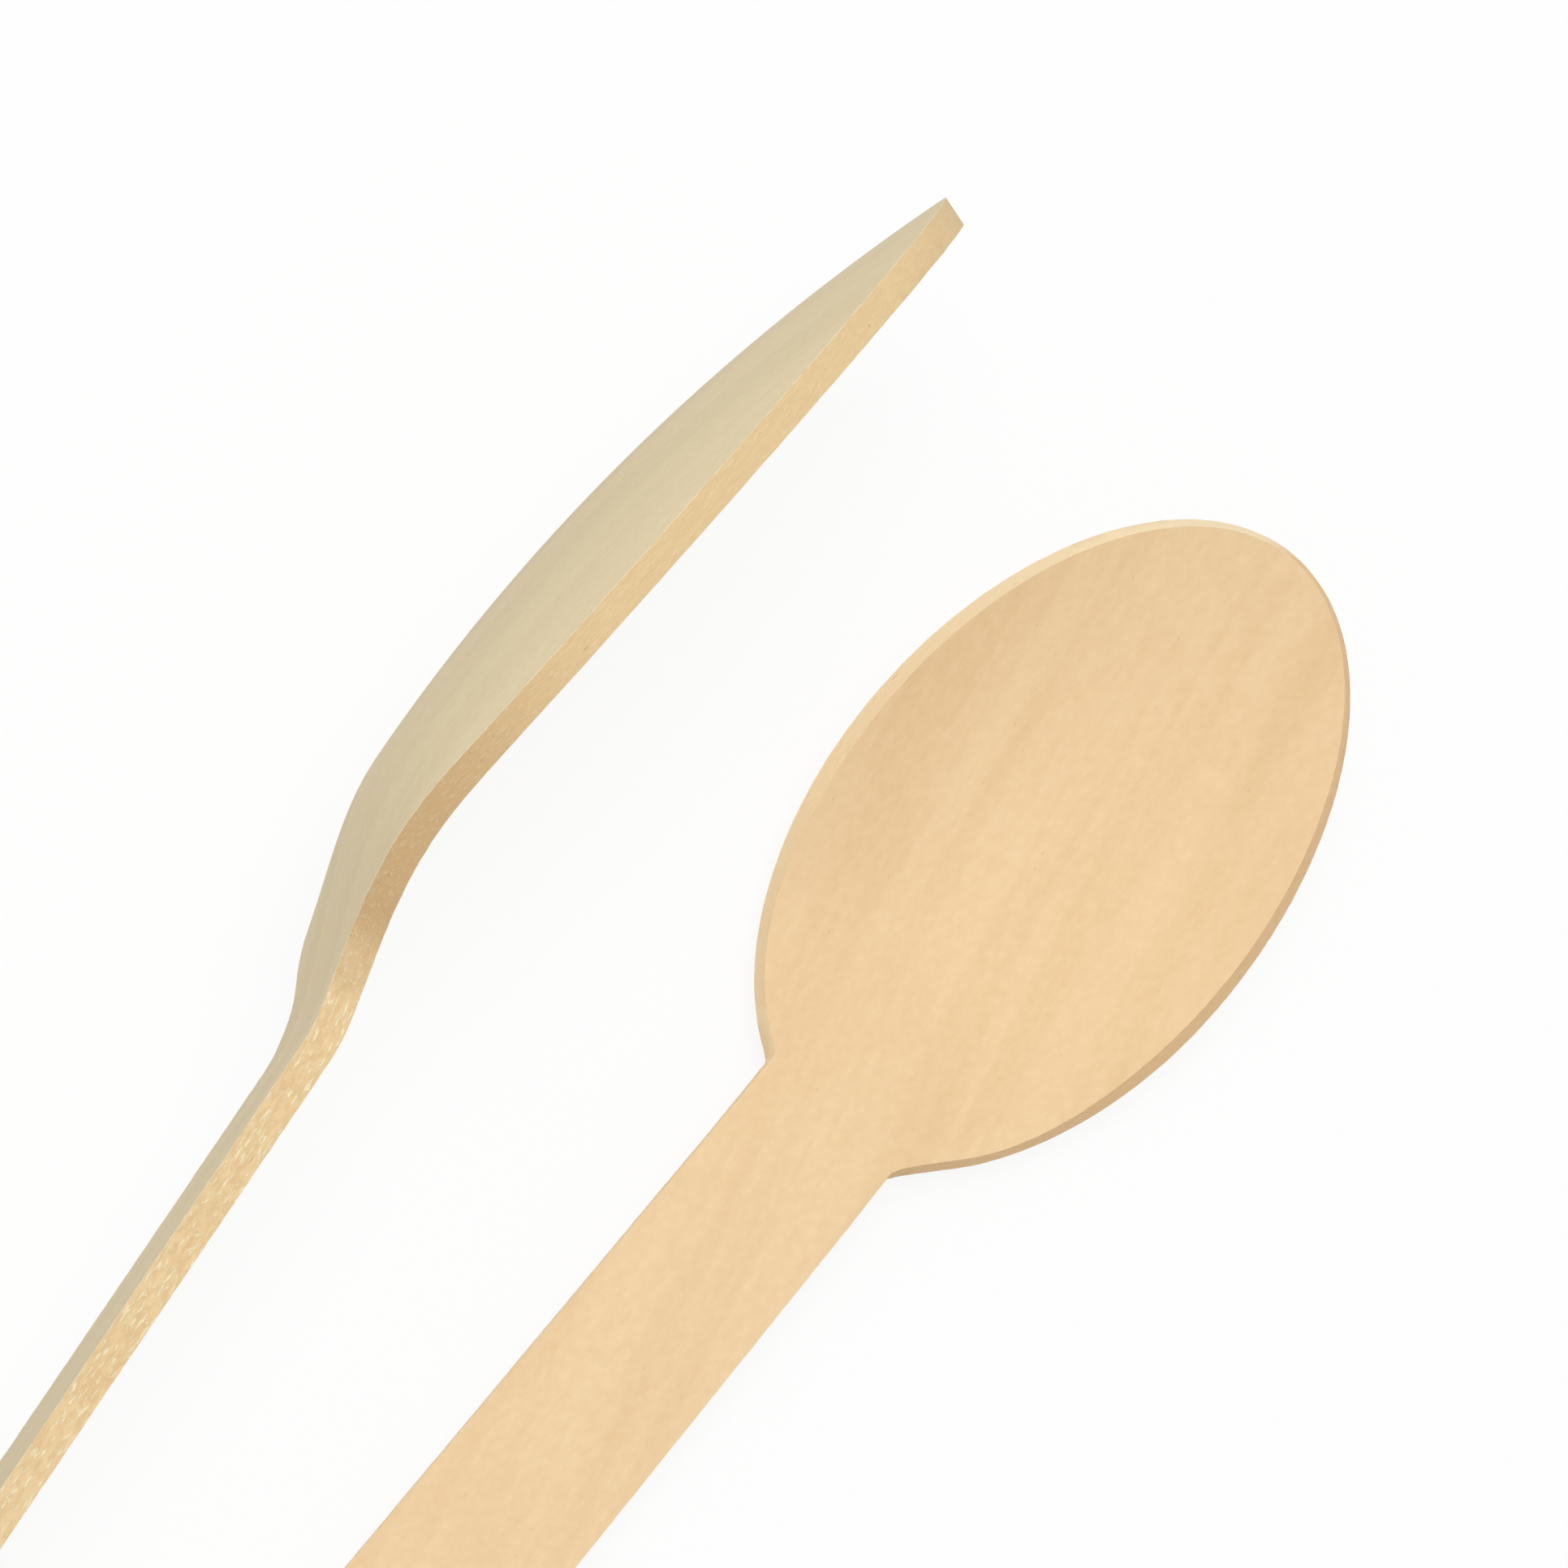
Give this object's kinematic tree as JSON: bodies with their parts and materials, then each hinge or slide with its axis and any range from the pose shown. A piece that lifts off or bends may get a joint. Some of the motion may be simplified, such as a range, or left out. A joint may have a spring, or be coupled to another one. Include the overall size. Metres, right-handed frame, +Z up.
{
  "type": "pair of wooden spoons",
  "caption": "Disposable wooden spoons pressed from birch veneer, a large one on its long edge beside a small one on its back.",
  "frame": {"origin": "under the middle of the pair, on the surface that both spoons rest on", "axes": "+Z up, +Y along the small spoon from handle to tip, +X to the right seen from the handle end"},
  "size_m": [0.0616, 0.2022, 0.0438],
  "materials": {
    "large_birch": "smooth bare veneer, matt, a little greyer on its back, with a fibrous cut edge",
    "small_birch": "smooth bare veneer, matt, with faint growth bands along it and a darker cut edge"
  },
  "bodies": {
    "root": {"large_spoon": "large_birch", "small_spoon": "small_birch"}
  },
  "joints": []
}
